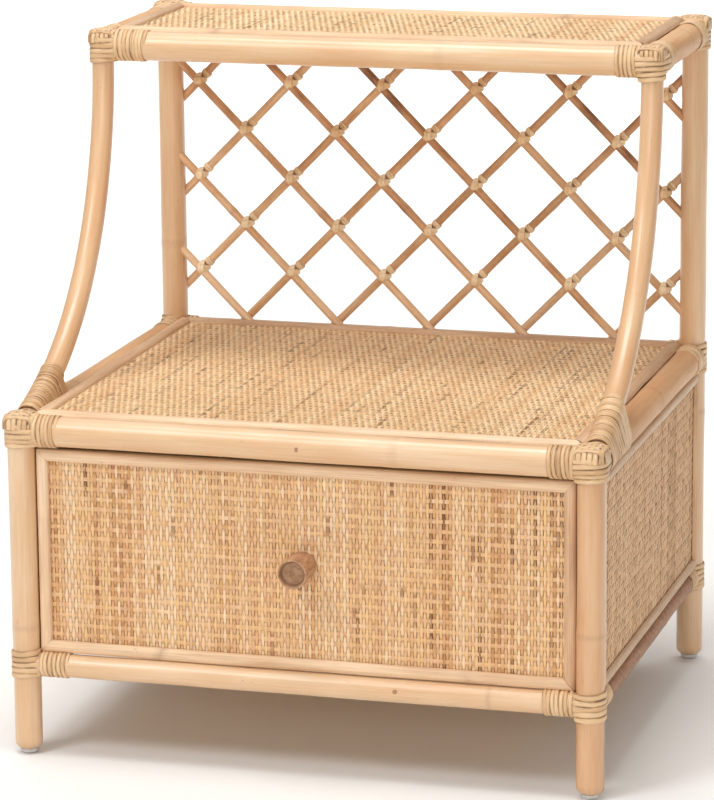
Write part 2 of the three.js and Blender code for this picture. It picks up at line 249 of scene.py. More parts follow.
class Tree:
    """A material's nodes, with short ways to make and join them."""

    def __init__(self, name):
        self.material = bpy.data.materials.new(name)
        self.material.use_nodes = True
        self.tree = self.material.node_tree
        self.tree.nodes.clear()
        output = self.tree.nodes.new("ShaderNodeOutputMaterial")
        self.shader = self.tree.nodes.new("ShaderNodeBsdfPrincipled")
        self.tree.links.new(self.shader.outputs[0], output.inputs[0])

    def put(self, value, socket):
        if isinstance(value, bpy.types.NodeSocket):
            self.tree.links.new(value, socket)
        else:
            socket.default_value = value

    def node(self, kind, inputs, **settings):
        node = self.tree.nodes.new("ShaderNode" + kind)
        for key, value in settings.items():
            setattr(node, key, value)
        for key, value in inputs.items():
            self.put(value, node.inputs[key])
        return node

    def attribute(self, name):
        node = self.node("Attribute", {}, attribute_name=name)
        return node.outputs["Vector" if name == "grain" else "Fac"]

    def stretched(self, along, across, shift=0.0):
        """The grain place, scaled along and across the fibres."""
        scale, location = (along, across, across), (shift, shift * 1.7, shift * 0.6)
        inputs = {"Vector": self.attribute("grain"), "Scale": scale, "Location": location}
        return self.node("Mapping", inputs).outputs[0]

    def noise(self, vector, detail=2.0, roughness=0.5, distortion=0.0):
        inputs = {"Vector": vector, "Scale": 1.0, "Detail": detail}
        inputs.update({"Roughness": roughness, "Distortion": distortion})
        return self.node("TexNoise", inputs).outputs["Fac"]

    def span(self, value, low_in, high_in, low_out=0.0, high_out=1.0):
        inputs = {"Value": value, "From Min": low_in, "From Max": high_in}
        inputs.update({"To Min": low_out, "To Max": high_out})
        return self.node("MapRange", inputs).outputs[0]

    def math(self, operation, a, b=0.0):
        return self.node("Math", {0: a, 1: b}, operation=operation).outputs[0]

    def ramp(self, value, stops):
        node = self.node("ValToRGB", {"Fac": value})
        elements = node.color_ramp.elements
        while len(elements) < len(stops):
            elements.new(0.5)
        for element, (place, colour) in zip(elements, stops):
            element.position = place
            element.color = linear(*colour)
        return node.outputs["Color"]

    def mix(self, factor, a, b, blend="MIX"):
        settings = {"data_type": "RGBA", "blend_type": blend, "clamp_factor": True}
        return self.node("Mix", {0: factor, 6: a, 7: b}, **settings).outputs[2]

    def bump(self, *layers):
        """Bump from (height, distance in metres) layers."""
        normal = None
        for height, distance in layers:
            node = self.node("Bump", {"Height": height, "Distance": distance, "Strength": 1.0})
            if normal is not None:
                self.put(normal, node.inputs["Normal"])
            normal = node.outputs[0]
        self.put(normal, self.shader.inputs["Normal"])

    def finish(self, colour, roughness, gloss=0.0, gloss_roughness=0.03):
        values = {"Base Color": colour, "Roughness": roughness}
        values.update({"Coat Weight": gloss, "Coat Roughness": gloss_roughness})
        for key, value in values.items():
            self.put(value, self.shader.inputs[key])
        return self.material


def stops(*colours, places=(0.0, 0.4, 0.75, 1.0)):
    return list(zip(places, colours))


COAT_ROUGHNESS = 0.3


def rattan(name, tones, ring, rough=(0.36, 0.5), streak=0.2, gloss=0.12, patch=9, vary=0.75):
    """Peeled rattan pole: soft patches, long fine fibres, a few flecks and darker node rings."""
    t = Tree(name)
    patches = t.noise(t.stretched(patch, 60), detail=3, roughness=0.55)
    tone = t.math("MULTIPLY", t.attribute("tone"), 0.45)
    shade = t.math("ADD", t.span(patches, 0, 1, 0.375 - 0.5 * vary, 0.375 + 0.5 * vary), tone)
    base = t.ramp(t.span(shade, 0.3, 0.9), tones)
    fibres = t.noise(t.stretched(14, 1400, 3), detail=3, roughness=0.65)
    fine = t.noise(t.stretched(40, 3500, 5), detail=2, roughness=0.6)
    colour = t.mix(t.span(fibres, 0.45, 0.75, 0, streak), base, linear(*ring))
    glow = linear(255, 236, 210)
    colour = t.mix(t.span(fine, 0.5, 0.8, 0, streak * 0.7), colour, glow, "MULTIPLY")
    flecks = t.noise(t.stretched(170, 520, 9), detail=2, roughness=0.5)
    colour = t.mix(t.span(flecks, 0.70, 0.78, 0, 0.4), colour, linear(150, 96, 58))
    smudge = t.noise(t.stretched(260, 260, 4), detail=2)
    mark = t.math("MULTIPLY", t.attribute("mark"), t.span(smudge, 0.25, 0.6, 0.45, 1.0))
    colour = t.mix(t.math("MULTIPLY", mark, 0.75), colour, linear(*ring))
    t.bump((patches, 0.0006), (fibres, 0.00012), (fine, 0.00005))
    return t.finish(colour, t.span(fibres, 0.3, 0.7, *rough), gloss, COAT_ROUGHNESS)


def cane(name, tones, stain, dirt_and_shade, grime_and_shade, gloss=0.1, faintest_patch=0.2):
    """Flat cane strip: one shade per strand, lengthwise fibres, stains where mark says so."""
    t = Tree(name)
    along = t.noise(t.stretched(22, 90), detail=3, roughness=0.6)
    tone = t.attribute("tone")
    shade = t.math("ADD", t.math("MULTIPLY", tone, 0.9), t.span(along, 0.2, 0.8, -0.12, 0.22))
    base = t.ramp(shade, tones)
    fibres = t.noise(t.stretched(45, 2600, 7), detail=3, roughness=0.7)
    colour = t.mix(t.span(fibres, 0.5, 0.78, 0, 0.3), base, linear(*stain))
    colour = t.mix(t.span(fibres, 0.5, 0.25, 0, 0.22), colour, linear(255, 238, 208))
    flecks = t.noise(t.stretched(420, 900, 2), detail=2)
    colour = t.mix(t.span(flecks, 0.68, 0.76, 0, 0.45), colour, linear(*stain))
    colour = t.mix(t.math("MULTIPLY", t.attribute("mark"), 0.8), colour, linear(*stain))
    # Painted shade, with some dirt: the edge attribute darkens strands along their edges and where
    # they go under, more in some patches than others.
    patchy = t.span(t.noise(t.stretched(90, 220, 7), detail=2), 0.42, 0.6, faintest_patch, 1.0)
    dirt_and_shade_mask = t.math("MULTIPLY", t.attribute("edge"), t.math("MULTIPLY", patchy, grime_and_shade))
    colour = t.mix(dirt_and_shade_mask, colour, linear(*dirt_and_shade))
    t.bump((fibres, 0.00009), (along, 0.0002))
    return t.finish(colour, t.span(fibres, 0.3, 0.7, 0.38, 0.58), gloss, COAT_ROUGHNESS)


def board_wood(name, tones, line):
    """Sawn board: long wavy grain in two tones, with pores."""
    t = Tree(name)
    waves = t.noise(t.stretched(6, 70), detail=4, roughness=0.6, distortion=0.8)
    lines = t.noise(t.stretched(10, 420, 3), detail=3, roughness=0.6)
    base = t.ramp(t.span(waves, 0.25, 0.75), tones)
    colour = t.mix(t.span(lines, 0.5, 0.72, 0, 0.35), base, linear(*line))
    pores = t.noise(t.stretched(120, 1500, 8), detail=2)
    colour = t.mix(t.span(pores, 0.66, 0.74, 0, 0.4), colour, linear(*line))
    colour = t.mix(t.math("MULTIPLY", t.attribute("mark"), 0.6), colour, linear(*line))
    t.bump((lines, 0.00015), (pores, 0.0001))
    return t.finish(colour, t.span(lines, 0.3, 0.7, 0.55, 0.72))


def turned_wood(name):
    """Knob wood: rings on the end and streaks down the side."""
    t = Tree(name)
    rings = t.noise(t.stretched(60, 240, 4), detail=3, roughness=0.55, distortion=0.6)
    tones = stops((206, 162, 124), (184, 140, 104), (148, 106, 74), places=(0, 0.5, 1))
    base = t.ramp(t.span(rings, 0.3, 0.72), tones)
    pores = t.noise(t.stretched(90, 2100, 6), detail=2)
    colour = t.mix(t.span(pores, 0.55, 0.7, 0, 0.3), base, linear(126, 92, 64))
    # Painted shade, with some grime, in the knob's dish, from the edge attribute.
    colour = t.mix(t.attribute("edge"), colour, linear(88, 54, 32))
    t.bump((rings, 0.0002), (pores, 0.00012))
    return t.finish(colour, t.span(pores, 0.3, 0.7, 0.5, 0.68))


def glide_plastic(name):
    """Pale moulded plastic, scuffed where it stands."""
    t = Tree(name)
    cloud = t.noise(t.stretched(300, 300), detail=3)
    colour = t.ramp(cloud, [(0.3, (214, 212, 208)), (0.7, (198, 195, 190))])
    scuff = t.noise(t.stretched(1800, 1800, 3), detail=3)
    t.bump((scuff, 0.00006))
    return t.finish(colour, t.span(scuff, 0.3, 0.7, 0.35, 0.6))


POLE = rattan(
    "peeled_rattan",
    stops((236, 204, 166), (226, 185, 141), (218, 168, 121), (200, 144, 97)),
    ring=(142, 92, 54), gloss=1.0,
)
SIDE_POLE = rattan(
    "toned_rattan",
    stops((230, 192, 148), (220, 170, 120), (206, 150, 100), (184, 128, 82)),
    ring=(122, 70, 32), rough=(0.46, 0.6), gloss=0.15,
)
LATTICE = rattan(
    "lattice_rattan",
    stops((246, 210, 170), (232, 186, 140), (204, 150, 102), (140, 90, 52), places=(0, 0.35, 0.7, 1)),
    ring=(112, 68, 38), streak=0.45, gloss=0.2, patch=24, vary=1.0,
)
SPLIT = rattan(
    "split_rattan",
    stops((250, 224, 194), (240, 206, 168), (218, 176, 136), (182, 142, 108)),
    ring=(128, 94, 70), rough=(0.46, 0.62), streak=0.42, gloss=0.08,
)
BINDING = cane(
    "binding_cane",
    stops((242, 208, 164), (230, 192, 146), (214, 172, 124), (186, 140, 94)),
    stain=(128, 82, 46), dirt_and_shade=(104, 60, 30), grime_and_shade=0.75, gloss=0.3, faintest_patch=0.15,
)
KNOT = cane(
    "knot_cane",
    stops((255, 230, 190), (246, 214, 168), (230, 192, 142), (206, 160, 108)),
    stain=(128, 86, 50), dirt_and_shade=(120, 76, 42), grime_and_shade=0.5, gloss=0.2,
)
WEAVE_FRONT = cane(
    "drawer_weave",
    stops((248, 216, 174), (240, 198, 156), (240, 194, 132), (230, 180, 136), (218, 162, 102),
          (188, 130, 82), places=(0, 0.22, 0.42, 0.6, 0.8, 1)),
    stain=(142, 84, 44), dirt_and_shade=(118, 68, 34), grime_and_shade=0.85,
)
WEAVE_TOP = cane(
    "top_weave",
    stops((255, 228, 186), (248, 210, 160), (236, 190, 136), (206, 152, 98)),
    stain=(122, 78, 40), dirt_and_shade=(116, 70, 34), grime_and_shade=0.9,
)
WEAVE_SIDE = cane(
    "side_weave",
    stops((250, 212, 168), (240, 194, 148), (222, 174, 126), (190, 140, 94)),
    stain=(122, 78, 42), dirt_and_shade=(110, 66, 34), grime_and_shade=0.9,
)
# The board behind the weave: its dark browns are the board's colour darkened with painted shade, for
# the shade seen through the weave's gaps.
SHADED_BACKING = board_wood("shaded_weave_backing", stops((140, 92, 52), (110, 70, 38), places=(0, 1)), (76, 46, 26))
PLYWOOD = board_wood(
    "bare_plywood",
    stops((226, 190, 142), (214, 176, 128), (198, 156, 108), places=(0, 0.5, 1)),
    (160, 116, 72),
)
KNOB = turned_wood("knob_wood")
GLIDE = glide_plastic("glide_plastic")
NAIL = rattan("nail_plug", stops((206, 160, 120), (190, 142, 104), places=(0, 1)), ring=(120, 84, 56))


# ---------------------------------------------------------------- poles


POLE_STEP = 4 * MM  # spacing of a pole's rings of points
RING_MARK = 0.35  # how dark a node ring is


def pole(name, path, radius, node, material=POLE, rings=None, tone=None,
         round_ends=(0.0, 0.0), sides=36, wobble=0.25 * MM, ring_depth=0.3 * MM, stain=0.0):
    """A round rattan pole along a path, with node rings, a slight bend and soft ends.

    rings are the places of the node rings, as parts of the length. tone is one shade, or the
    shades of the two ends. round_ends are the radii of the ends' edges.
    """
    rng = rng_for(name)
    path = np.asarray(path, float)
    length = lengths(path)
    total = length[-1]
    n = max(8, int(total / POLE_STEP))
    at = np.linspace(0, total, n)
    line = resample(at, length, path)
    if len(path) > 2:
        for _ in range(6):
            line[1:-1] = (line[:-2] + 2 * line[1:-1] + line[2:]) / 4
    side, normal = transported(line)
    fade = np.clip(np.minimum(at, total - at) / (30 * MM), 0, 1)[:, None]
    for direction in (side, normal):
        bend = smooth_noise(rng, n, int(60 * MM / POLE_STEP))[:, None]
        line = line + fade * wobble * direction * bend
    if rings is None:
        rings = [rng.uniform(0.25, 0.75)] if total > 0.15 else []
    girth = 1 + 0.006 * smooth_noise(rng, n, int(40 * MM / POLE_STEP))
    mark = np.full(n, stain)
    for place in np.array(rings) * total:
        girth += ring_depth / radius * np.exp(-(((at - place) / (5 * MM)) ** 2))
        dark = RING_MARK * np.exp(-(((at - place - 1 * MM) / (2.2 * MM)) ** 2))
        mark = np.maximum(mark, dark)
    if tone is None:
        tone = rng.uniform(0.15, 0.85)
    if isinstance(tone, tuple):
        tone = np.linspace(*tone, n)
    radii = radius * girth
    extra = []
    for end, fillet in enumerate(round_ends):
        if fillet:
            away = total - at if end else at
            mark = np.maximum(mark, 0.5 * (1 - np.clip(away / (fillet * 1.4), 0, 1)))
            cuts = fillet * np.array([0.05, 0.2, 0.4, 0.7])
            extra += list(total - cuts if end else cuts)
    if extra:
        fine = np.unique(np.concatenate([at, extra]))
        line, side, normal = (resample(fine, at, field) for field in (line, side, normal))
        mark, radii = np.interp(fine, at, mark), np.interp(fine, at, radii)
        for end, fillet in enumerate(round_ends):
            if fillet:
                f = np.clip((total - fine if end else fine) / fillet, 0, 1)
                radii = radii - fillet * (1 - np.sqrt(1 - (1 - f) ** 2))
    shape = Shape()
    shape.sweep(line, side, normal, circle(radius, sides), scale=radii / radius, tone=tone,
                mark=mark, shift=rng.uniform(0, 40))
    shape.build(name, material, CABINET, replaces=[node], sharp=50)


NAIL_R = 2.1 * MM


def cane_nail(name, place, axis):
    """A filled nail hole: a small disc that stands a hair proud of a pole."""
    side, normal = transported(np.array([np.zeros(3), axis * MM]))
    line = [place - axis * MM, place + axis * 0.1 * MM, place + axis * 0.25 * MM]
    shape = Shape()
    shape.sweep(line, side[0], normal[0], circle(NAIL_R, 16), scale=[1, 1, 0.7], tone=0.6, mark=0.7)
    shape.build(name, NAIL, CABINET)


# ---------------------------------------------------------------- cane bindings


def hull(points):
    """Convex outline of 2-D points, anticlockwise."""
    pts = sorted(map(tuple, np.round(points, 7)))
    def half(items):
        out = []
        for p in items:
            while len(out) > 1:
                (ax, ay), (bx, by) = out[-2], out[-1]
                if (bx - ax) * (p[1] - ay) - (by - ay) * (p[0] - ax) > 0:
                    break
                out.pop()
            out.append(p)
        return out[:-1]
    return np.array(half(pts) + half(pts[::-1]))


def outline(points, count, start_angle=0.0):
    """Even points round the convex outline, from a given direction, with outward normals."""
    ring = hull(points)
    centre = ring.mean(axis=0)
    closed = np.vstack([ring, ring[:1]])
    length = lengths(closed)
    dense = resample(np.linspace(0, length[-1], 241)[:-1], length, closed)
    angle = np.arctan2(*(dense - centre).T[::-1])
    first = np.argmin(np.abs((angle - start_angle + math.pi) % TAU - math.pi))
    dense = np.roll(dense, -first, axis=0)
    picked = dense[np.linspace(0, 240, count, endpoint=False).astype(int)]
    ahead = np.roll(picked, -1, axis=0) - np.roll(picked, 1, axis=0)
    normal = unit(np.stack([ahead[:, 1], -ahead[:, 0]], axis=1))
    return picked, normal


def disc(centre, r):
    return np.asarray(centre) + circle(r, 40)


def strip_section(width, thick):
    return [
        (-0.5 * width, -0.5 * thick),
        (0.5 * width, -0.5 * thick),
        (0.49 * width, 0.12 * thick),
        (0.3 * width, 0.46 * thick),
        (0.0, 0.55 * thick),
        (-0.3 * width, 0.46 * thick),
        (-0.49 * width, 0.12 * thick),
    ]


# Painted shade, with some grime, across a strip's section: full on its underside and lower edges, none
# on its crown.
STRIP_SHADE_AND_GRIME = np.array([1.0, 1.0, 0.9, 0.22, 0.0, 0.22, 0.9])


def wind(shape, rng, loops, width, thick, count=40, start=0.0, stray=0.06, shade=0.0):
    """One strand wound through a list of loops.

    A loop is (points in the loop's plane, origin, u, v, side): the strand lies on the outline of
    the points, and side is the direction that the turns advance in.
    """
    rings = []
    for points, origin, u, v, side in loops:
        flat, normal = outline(points, count, start)
        place = origin + flat[:, :1] * u + flat[:, 1:] * v
        rings.append((place, normal[:, :1] * u + normal[:, 1:] * v, np.broadcast_to(side, (count, 3))))
    path, normals, sides = [], [], []
    f = (np.arange(count) / count)[:, None]
    for a, b in zip(rings[:-1], rings[1:]):
        path.append(a[0] * (1 - f) + b[0] * f)
        normals.append(a[1] * (1 - f) + b[1] * f)
        sides.append(a[2] * (1 - f) + b[2] * f)
    path, normals, sides = map(np.concatenate, (path, normals, sides))
    normals = unit(normals)
    n = len(path)
    lift = 0.5 * thick + 0.12 * thick * smooth_noise(rng, n, count // 2) + 0.05 * MM
    tuck = np.clip(np.minimum(np.arange(n), n - 1 - np.arange(n)) / (count * 0.2), 0, 1)
    lift = lift * tuck - thick * (1 - tuck) * 0.8
    wander = stray * width * smooth_noise(rng, n, count // 3)
    path = path + normals * lift[:, None] + sides * wander[:, None]
    tangent = unit(np.gradient(path, axis=0))
    across = unit(np.cross(normals, tangent))
    turns = max(1, len(loops) - 1)
    drift = np.clip(0.45 + 0.38 * smooth_noise(rng, n, count), 0, 1)
    tones = np.repeat(rng.uniform(0.1, 0.9, turns), count) * 0.6 + drift * 0.4
    tones = np.clip(tones + shade, 0, 1)
    blend = np.convolve(np.pad(tones, 4, mode="edge"), np.ones(9) / 9, "valid")
    size = 0.98 + 0.12 * smooth_noise(rng, n, count // 2)
    shape.sweep(path, across, normals, strip_section(width, thick), scale=size, tone=blend,
                shift=rng.uniform(0, 60), edge=STRIP_SHADE_AND_GRIME)


def pole_wrap(shape, rng, start, direction, length, r, bands, thick=1.0 * MM, shade=0.0):
    """Turns of cane round a straight pole, from a point on its axis."""
    direction = unit(direction)
    u = unit(np.cross(direction, Z if abs(direction[2]) < 0.9 else X))
    v = np.cross(direction, u)
    pitch = length / bands
    steps = rng.uniform(0.82, 1.18, bands)
    at = np.concatenate([[0], np.cumsum(steps)]) / steps.sum() * length
    loops = []
    for where in at:
        origin = start + direction * where
        loops.append((disc((0, 0), r + 0.1 * MM), origin, u, v, direction))
    wind(shape, rng, loops, pitch * 0.98, thick, stray=0.14, shade=shade)


def block(shape, rng, centre, post_r, poles, pole_r, z0, z1, bands, thick=1.3 * MM):
    """Wide level bands round a corner post and the ends of the two poles that meet it."""
    pitch = (z1 - z0) / bands
    loops = []
    for k in range(bands + 1):
        z = z0 + k * pitch
        half = math.sqrt(max(0.0, pole_r**2 - (z - centre[2]) ** 2))
        points = [disc((0, 0), post_r + 0.3 * MM)]
        if half > 3 * MM:
            points += [disc(d[:2] * 9 * MM, half + 0.2 * MM) for d in poles]
        loops.append((np.vstack(points), np.array([centre[0], centre[1], z]), X, Y, Z))
    outer = math.atan2(*(poles[0] + poles[1])[1::-1])
    wind(shape, rng, loops, pitch * 1.0, thick, count=56, start=outer, stray=0.09)


def cap(shape, rng, centre, r, z0, z1, bands=6, thick=1.0 * MM):
    """A basket-woven lid of crossing bands, with rounded edges, over a corner's top."""
    pitch = 2 * r / (bands + 0.1)
    for family, (u, v) in enumerate(((X, Y), (Y, X))):
        for i in range(bands):
            offset = (i - (bands - 1) / 2) * pitch
            out = abs(offset) / r
            reach = r * (1 - out**4) ** (1 / 4)
            height = (z1 - z0) * (1 - (out * 0.9) ** 4) ** (1 / 4)
            theta = np.linspace(0.0, math.pi, 45)
            c, s = np.cos(theta), np.sin(theta)
            across = reach * np.sign(c) * np.abs(c) ** 0.52
            up = height * np.abs(s) ** 0.52
            weave = np.cos(across / pitch * math.pi + math.pi * (i + family + (bands % 2) / 2))
            weave = 0.36 * thick * weave * np.clip(s * 2 - 0.7, 0, 1)
            sway = 0.05 * pitch * smooth_noise(rng, len(theta), 12)
            path = centre + np.outer(across, u) + np.outer(offset + sway, v)
            path[:, 2] = z0 + up
            lean = np.sign(c) * np.abs(c) ** 3
            outward = unit(np.outer(lean, u) + np.outer(s + 0.02, Z) + np.sign(offset) * out**4 * v)
            path = path + outward * (weave + 0.3 * thick)[:, None]
            tangent = unit(np.gradient(path, axis=0))
            side = unit(np.cross(outward, tangent))
            normal = np.cross(tangent, side)
            shape.sweep(path, side, normal, strip_section(pitch * 0.95, thick),
                        tone=rng.uniform(0.1, 0.9), shift=rng.uniform(0, 60), edge=STRIP_SHADE_AND_GRIME)


# ---------------------------------------------------------------- weave


STRAND = 2.8 * MM  # spacing of the strands that lie side by side
CROSS = 8.6 * MM  # spacing of the wider strands that cross them
CROSS_W = 3.9 * MM


def weave(name, material, node, u, v, inset, depth, body, relief, tones, run=0.15, stains=0.08,
          thick=0.5 * MM, gaps=0.06, soil_and_shade=1.0):
    """Close cane webbing: strands side by side along v, and wider ones along u to lock them.

    It lies depth under the face of the node that u x v points out of, inset from the edges.
    A strand goes over one cross strand and under the next, a step on from its neighbour. tones
    are the middle and spread of the strands' shades, and run is how far neighbours share one.
    The last argument scales the painted shade, with some soil, laid where a strand goes
    under, along its sides nearest the board, and over thinned strands.
    """
    rng = rng_for(name)
    out = np.cross(u, v)
    lo, hi = low(node), high(node)
    corner = np.where(u + v - out > 0, lo, hi) + inset * (u + v) - depth * out
    size = [np.dot(hi - lo, np.abs(axis)) - 2 * inset for axis in (u, v)]
    columns, rows = round(size[0] / STRAND), round(size[1] / CROSS)
    pitch, step = size[0] / columns, size[1] / rows
    shape = Shape()

    def section(width):
        half, high = width / 2, thick / 2
        return [(-half, -high), (half, -high), (half * 0.82, high), (-half * 0.82, high)]

    shades = tones[0] + tones[1] * rng.uniform(-1, 1, columns)
    shades += run * smooth_noise(rng, columns, 9) + run * smooth_noise(rng, columns, 3)
    n = 2 * rows + 1
    at = np.arange(n) * step / 2
    crossing = np.arange(n) % 2
    for i in range(columns):
        over = np.where((np.arange(n) // 2 + i) % 2 == 0, 1, -1) * crossing
        up = relief * over * rng.uniform(0.7, 1.2, n) + 0.04 * MM * rng.uniform(-1, 1, n)
        drift = 0.04 * pitch * smooth_noise(rng, n, 9)
        path = corner + np.outer((i + 0.5) * pitch + drift, u) + np.outer(at, v) + np.outer(up, out)
        width = pitch * (0.99 + 0.01 * rng.uniform(-1, 1))
        thin = np.clip(smooth_noise(rng, n, 9) + 0.2, 0, 1) * (rng.random() < gaps)
        girth = 1 + 0.06 * (over > 0) - 0.3 * (over < 0) - 0.4 * thin
        girth = girth + 0.05 * rng.uniform(-1, 1, n)
        # Painted shade, with some soil: on a strand's top where it goes under, on its sides nearest
        # the board, and where a thinned strand leaves a gap.
        dive = np.where(over < 0, soil_and_shade * (0.35 + 0.65 * rng.random(n) ** 2), 0.0) + thin
        edge = np.stack([np.full(n, 0.5 + 0.5 * soil_and_shade)] * 2 + [dive + 0.04] * 2, axis=1)
        mark = np.zeros(n)
        if rng.random() < stains * 2:
            reach = rng.uniform(3, 14) * MM
            mark = rng.uniform(0.2, 1.0) ** 2 * (np.abs(at - rng.uniform(0, at[-1])) < reach)
        # Painted light and shade: a strand is paler where it lies on top and darker where it goes
        # under.
        shade = shades[i] + 0.14 * rng.uniform(-1, 1, n) - 0.08 * (over > 0) + 0.08 * (over < 0)
        shape.sweep(path, u, out, section(width), tone=np.clip(shade, 0, 1), mark=mark,
                    scale=girth, shift=rng.uniform(0, 80), edge=np.minimum(1, edge))
    n = columns + 2
    at = np.clip((np.arange(n) - 0.5) * pitch, 0, size[0])
    for j in range(rows):
        over = np.where((np.arange(n) - 1 + j) % 2 == 0, -1, 1)
        over[[0, -1]] = 0
        up = 0.55 * relief * over * rng.uniform(0.7, 1.1, n)
        drift = 0.2 * MM * smooth_noise(rng, n, 12)
        path = corner + np.outer(at, u) + np.outer((j + 0.5) * step + drift, v) + np.outer(up, out)
        shade = tones[0] + 0.15 * rng.uniform(-1, 1) + 0.3 * rng.uniform(-1, 1, n)
        # Painted shade, with some soil, along the cross strands' sides nearest the board, and less on
        # their tops.
        shape.sweep(path, v, out, section(CROSS_W), tone=np.clip(shade, 0, 1),
                    scale=1 + 0.12 * rng.uniform(-1, 1, n), shift=rng.uniform(0, 80),
                    edge=[1.0, 1.0, 0.4 * soil_and_shade, 0.4 * soil_and_shade])
    shape.build(name, material, body)


# ---------------------------------------------------------------- boards and strips


def board(name, lo, hi, material, body, replaces=(), bevel=0.6 * MM, along=0):
    """A flat board with softened edges and its grain along one axis."""
    lo, hi = np.asarray(lo, float), np.asarray(hi, float)
    bevel = min(bevel, 0.3 * (hi - lo).min())
    order = [along, (along + 1) % 3, (along + 2) % 3]
    axes = np.eye(3)[order]
    length, width, height = (hi - lo)[order]
    rng = rng_for(name)
    w, h = width / 2, height / 2
    section = []
    for cx, cy, start in ((w, h, 0), (-w, h, 1), (-w, -h, 2), (w, -h, 3)):
        for k in range(3):
            turn = (start + k / 2) * math.pi / 2
            section.append((cx - math.copysign(bevel, cx) + bevel * math.cos(turn),
                            cy - math.copysign(bevel, cy) + bevel * math.sin(turn)))
    section = np.array(section)
    cuts = np.linspace(0, length, max(3, int(length / (40 * MM))))[1:-1]
    near_end = np.array([0, bevel * 0.3, bevel])
    cuts = np.unique(np.concatenate([near_end, cuts, length - near_end]))
    away = np.minimum(cuts, length - cuts)
    shrink = bevel - np.sqrt(np.maximum(0, bevel**2 - (bevel - np.minimum(away, bevel)) ** 2))
    start = lo + axes[1] * w + axes[2] * h
    rings = []
    for at, less in zip(cuts, shrink):
        ring = section - np.sign(section) * less
        rings.append(start + at * axes[0] + ring[:, :1] * axes[1] + ring[:, 1:] * axes[2])
    n, m = len(cuts), len(section)
    grain = np.concatenate([np.broadcast_to(cuts[:, None, None] + rng.uniform(0, 40), (n, m, 1)),
                            np.broadcast_to(section[None], (n, m, 2))], axis=2)
    shape = Shape()
    shape.add(np.concatenate(rings), tube_faces(n, m), grain.reshape(-1, 3),
              tone=rng.uniform(0.2, 0.8))
    shape.build(name, material, body, replaces=replaces, sharp=40)


def half_round(shape, name, start, end, inward, out, width, height, spread=0.15 * MM):
    """A half-round strip, mitred at both ends, from start to end along its outer edge.

    inward points to the inner edge. spread is how far the outer edge is pressed outwards.
    """
    rng = rng_for(name)
    start, end = np.asarray(start, float), np.asarray(end, float)
    run = unit(end - start)
    length = np.linalg.norm(end - start)
    inward, out = unit(inward), unit(out)
    n = max(8, int(length / (8 * MM)))
    f = np.linspace(0, 1, n)
    turn = np.linspace(0, math.pi, 9)
    section = [(width * (0.5 - 0.5 * math.cos(t)), height * math.sin(t) ** 0.8) for t in turn]
    section += [(width * 0.98, -0.12 * MM), (width * 0.02, -0.12 * MM)]
    section = np.array(section)
    m = len(section)
    bow = 0.2 * MM * smooth_noise(rng, n, 9)
    foot = spread * (1 + 0.25 * smooth_noise(rng, n, 7))
    thick = 1 + 0.04 * smooth_noise(rng, n, 6)
    mark = np.full(n, STAINS_AND_SHADE.get(name.removesuffix("_cane"), 0.0))
    place = rng.uniform(0.05, 0.25)
    while place < length:
        mark = np.maximum(mark, 0.55 * np.exp(-(((f * length - place) / (2.5 * MM)) ** 2)))
        place += rng.uniform(0.16, 0.3)
    rings = np.zeros((n, m, 3))
    grain = np.zeros((n, m, 3))
    gap = 0.12 * MM
    for k in range(m):
        across = section[k, 0]
        lo = across + gap
        hi = length - across - gap
        at = lo + (hi - lo) * f
        place = across + bow - foot * (1 - across / width) ** 2
        level = start + np.outer(at, run) + np.outer(place, inward)
        rings[:, k] = level + np.outer(section[k, 1] * thick, out)
        grain[:, k, 0] = at
        grain[:, k, 1:] = section[k]
    grain[:, :, 0] += rng.uniform(0, 50)
    faces = tube_faces(n, m)
    if np.dot(np.cross(inward, out), run) < 0:
        faces = [face[:, ::-1] for face in faces]
    shape.add(rings.reshape(-1, 3), faces, grain.reshape(-1, 3), tone=rng.uniform(0.2, 0.8),
              mark=np.repeat(mark, m))


def strip_piece(name, start, end, inward, out, body, node, spread=0.15 * MM):
    shape = Shape()
    half_round(shape, name, start, end, inward, out, TRIM_W, TRIM_H, spread)
    shape.build(name, SPLIT, body, replaces=[node], sharp=60)


# ================================================================ camera, light and floor


CAMERA_PLACE = (0.951887, FRONT_Y - 3.136331, 1.093445)
CAMERA_YAW, CAMERA_PITCH, CAMERA_ROLL = map(math.radians, (16.049, -13.146, -0.509))
CAMERA_LENS = 181.016  # mm, for a sensor 36 mm wide
WHITE = (1, 1, 1)
AIM = (0, 0, 0.3)  # the middle of the nightstand
OVERHEAD = (0.0, 6.5, 4.0)  # the light that keeps the ground behind it pale

# name, place, target, size across and up, watts, colour
LIGHTS = [
    ("key", (-1.3, -2.0, 2.75), AIM, (1.0, 1.0), 34, WHITE),
    ("top", (-0.2, -0.42, 3.4), AIM, (1.8, 1.0), 56, WHITE),
    ("front_fill", (0.4, -3.2, 0.9), AIM, (1.6, 1.2), 22, WHITE),
    ("right_fill", (4.0, -1.3, 1.5), AIM, (3.0, 2.6), 15, (1.0, 0.9, 0.78)),
    ("backdrop", OVERHEAD, (OVERHEAD[0], OVERHEAD[1], 0.0), (12, 9), 420, WHITE),
]
BACKDROP_SPREAD = 120  # degrees
SKY_COLOUR = (1.0, 0.955, 0.9, 1)
SKY_STRENGTH = 0.32
FLOOR_REACH = 14.0


